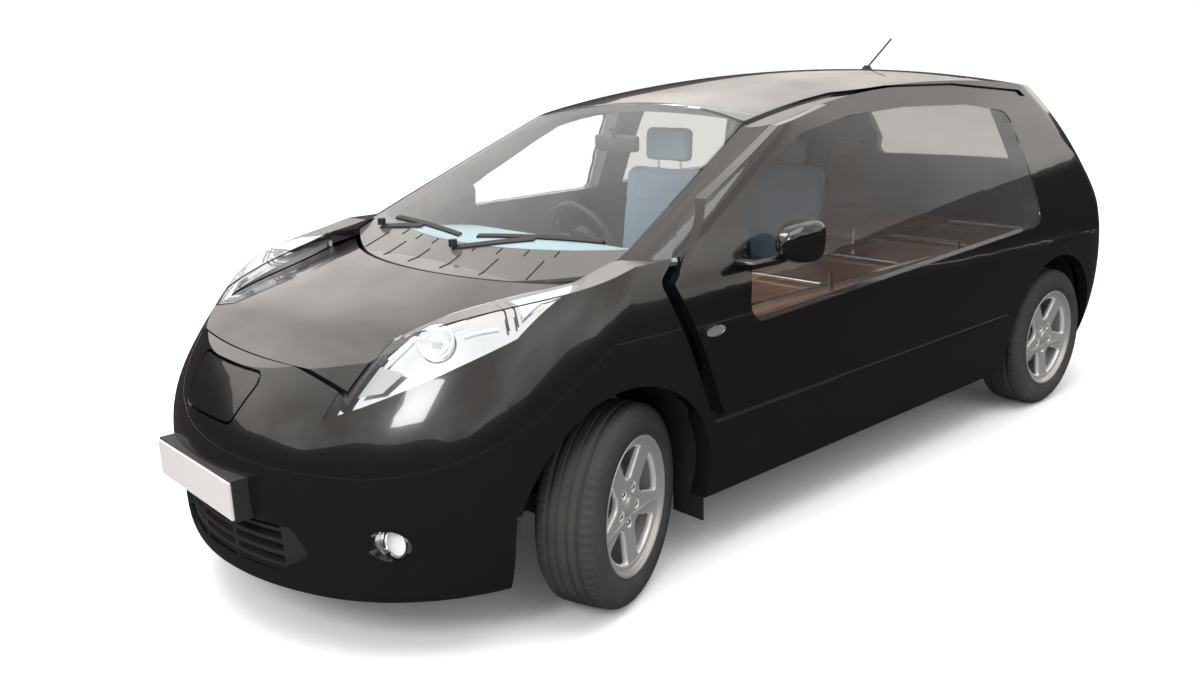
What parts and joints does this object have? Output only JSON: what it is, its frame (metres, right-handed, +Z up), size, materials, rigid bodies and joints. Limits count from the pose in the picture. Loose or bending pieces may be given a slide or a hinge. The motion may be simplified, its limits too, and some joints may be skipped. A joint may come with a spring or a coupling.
{
  "type": "hearse",
  "caption": "Electric hatchback converted to a hearse: hollow cabin with a glazed side panel, coffin deck, hinged doors, tailgate and bonnet, steered front wheels.",
  "frame": {"origin": "on the ground, midway along the overall length, on the centre plane", "axes": "+X to the nose, +Y to the vehicle's left, +Z up"},
  "size_m": [4.4438, 2.03, 1.6783],
  "materials": {
    "body_paint": "gloss",
    "panel_gloss": "gloss",
    "clear_glass": "clear",
    "dark_glass": "tinted",
    "lamp_lens": "clear",
    "lamp_inside": "bright",
    "tail_lens": "gloss",
    "black_plastic": "textured",
    "plate_face": "satin",
    "alloy": "satin",
    "tyre_rubber": "matt",
    "chassis_steel": "satin",
    "cast_metal": "cast",
    "seat_cloth": "woven",
    "dash_plastic": "soft",
    "grip_leather": "smooth",
    "deck_wood": "polished",
    "bright_metal": "polished"
  },
  "bodies": {
    "body": {"front_bumper": "body_paint", "front_wing_left": "body_paint", "front_wing_right": "body_paint", "headlamp_lenses": "lamp_lens", "headlamp_units": "lamp_inside", "scuttle_panel": "black_plastic", "windscreen": "clear_glass", "roof_panel": "body_paint", "tail_lamps": "tail_lens", "rear_bumper": "body_paint", "body_side_right": "body_paint", "body_side_left": "body_paint", "left_side_panel": "panel_gloss", "left_side_glass": "dark_glass", "charge_port": "black_plastic", "front_plate": "plate_face", "plate_holder": "black_plastic", "lower_grille": "black_plastic", "fog_lamps": "lamp_lens", "wipers": "black_plastic", "floor_pan": "chassis_steel", "battery_pack": "chassis_steel", "drive_unit": "cast_metal", "front_subframe": "chassis_steel", "rear_axle_beam": "chassis_steel", "wheel_liners": "black_plastic", "mud_flaps": "black_plastic", "dashboard": "dash_plastic", "steering_wheel": "grip_leather", "driver_seat": "seat_cloth", "rear_seat": "seat_cloth", "coffin_deck": "deck_wood", "deck_frame": "chassis_steel", "deck_fittings": "bright_metal", "door_mirror_left": "panel_gloss", "repeater_lamps": "lamp_lens", "roof_aerial": "black_plastic"},
    "bonnet": {"bonnet": "body_paint"},
    "charge_lid": {"charge_lid": "body_paint"},
    "driver_door": {"driver_door": "body_paint", "driver_door_glass": "clear_glass", "door_mirror_right": "body_paint"},
    "rear_door": {"rear_door_right": "body_paint", "rear_door_right_glass": "dark_glass"},
    "tailgate": {"tailgate": "body_paint", "tailgate_glass": "dark_glass"},
    "steering_left": {"knuckle_left": "cast_metal"},
    "front_wheel_left": {"front_rim_left": "alloy", "front_tyre_left": "tyre_rubber"},
    "rear_wheel_left": {"rear_rim_left": "alloy", "rear_tyre_left": "tyre_rubber"},
    "steering_right": {"knuckle_right": "cast_metal"},
    "front_wheel_right": {"front_rim_right": "alloy", "front_tyre_right": "tyre_rubber"},
    "rear_wheel_right": {"rear_rim_right": "alloy", "rear_tyre_right": "tyre_rubber"}
  },
  "joints": [
    {"name": "bonnet_lift", "type": "hinge", "parent": "body", "child": "bonnet", "pos_m": [1.275, 0, 0.957], "axis": [0, -1, 0], "range_deg": [0, 40]},
    {"name": "charge_lid_lift", "type": "hinge", "parent": "body", "child": "charge_lid", "pos_m": [2.0758, 0, 0.7774], "axis": [0, -1, 0], "range_deg": [0, 85]},
    {"name": "driver_door_swing", "type": "hinge", "parent": "body", "child": "driver_door", "pos_m": [0.923, -0.877, 0.74], "axis": [0, 0, 1], "range_deg": [0, 65]},
    {"name": "rear_door_swing", "type": "hinge", "parent": "body", "child": "rear_door", "pos_m": [-0.157, -0.877, 0.74], "axis": [0, 0, 1], "range_deg": [0, 65]},
    {"name": "tailgate_lift", "type": "hinge", "parent": "body", "child": "tailgate", "pos_m": [-1.571, 0, 1.484], "axis": [0, 1, 0], "range_deg": [0, 80]},
    {"name": "steer_left", "type": "hinge", "parent": "body", "child": "steering_left", "pos_m": [1.2775, 0.72, 0.316], "axis": [0, 0, 1], "range_deg": [-57, 13]},
    {"name": "front_spin_left", "type": "hinge", "parent": "steering_left", "child": "front_wheel_left", "pos_m": [1.25877, 0.76636, 0.316], "axis": [-0.3746, 0.9272, 0], "continuous": true},
    {"name": "rear_spin_left", "type": "hinge", "parent": "body", "child": "rear_wheel_left", "pos_m": [-1.4225, 0.7675, 0.316], "axis": [0, 1, 0], "continuous": true},
    {"name": "steer_right", "type": "hinge", "parent": "body", "child": "steering_right", "pos_m": [1.2775, -0.72, 0.316], "axis": [0, 0, 1], "range_deg": [-57, 13]},
    {"name": "front_spin_right", "type": "hinge", "parent": "steering_right", "child": "front_wheel_right", "pos_m": [1.29623, -0.76636, 0.316], "axis": [-0.3746, 0.9272, 0], "continuous": true},
    {"name": "rear_spin_right", "type": "hinge", "parent": "body", "child": "rear_wheel_right", "pos_m": [-1.4225, -0.7675, 0.316], "axis": [0, 1, 0], "continuous": true}
  ],
  "couplings": [
    {"joint": "steer_right", "follows": "steer_left", "ratio": 1}
  ]
}
